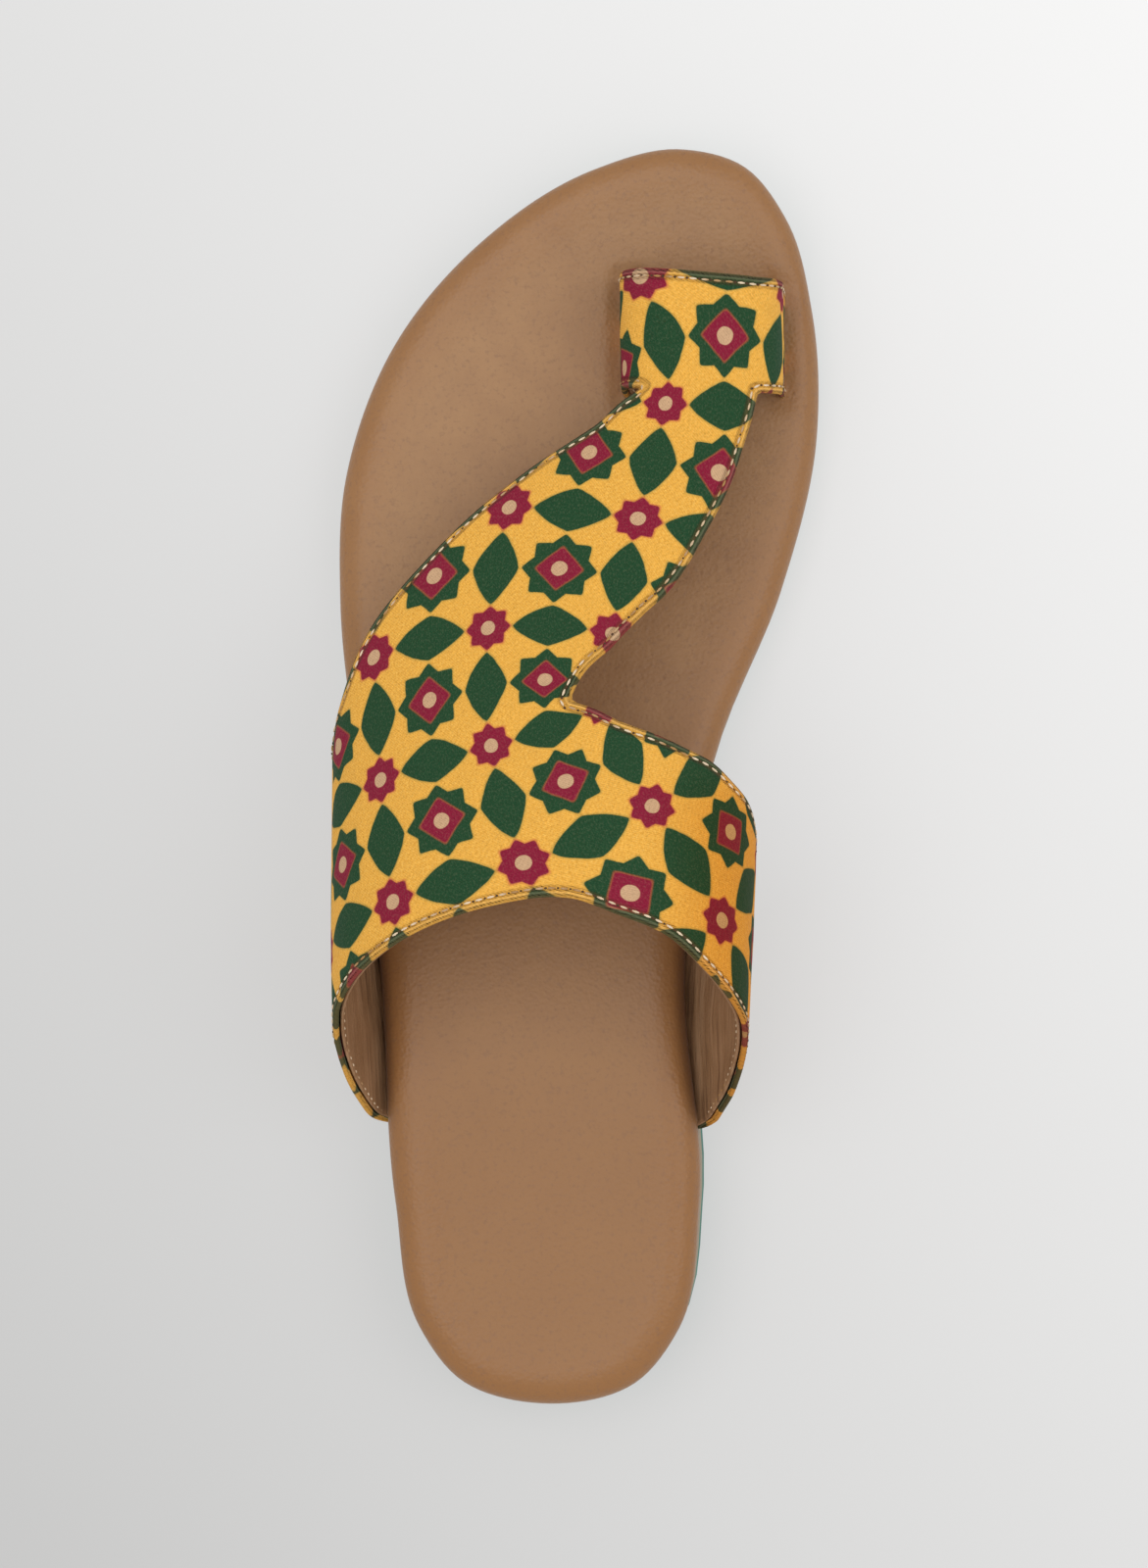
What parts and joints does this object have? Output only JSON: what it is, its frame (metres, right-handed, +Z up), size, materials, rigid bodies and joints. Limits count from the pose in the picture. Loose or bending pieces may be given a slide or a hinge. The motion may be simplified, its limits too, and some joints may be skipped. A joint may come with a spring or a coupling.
{
  "type": "toe-loop sandal",
  "caption": "Flat open sandal for the left foot: padded footbed on a low-heeled outsole, with a patterned instep band, slanting strap and big-toe loop.",
  "frame": {"origin": "on the floor under the middle of the heel's flat rest", "axes": "+Y towards the toe along the heel's centre line, +X towards the big-toe side, +Z up"},
  "size_m": [0.104, 0.269, 0.0789],
  "materials": {
    "outsole_rubber": "matte teal-green rubber",
    "footbed_leather": "smooth tan leather, soft sheen",
    "upper_cloth": "woven printed cloth over a brown leather lining"
  },
  "bodies": {
    "root": {"outsole": "outsole_rubber", "footbed": "footbed_leather", "upper": "upper_cloth"}
  },
  "joints": []
}
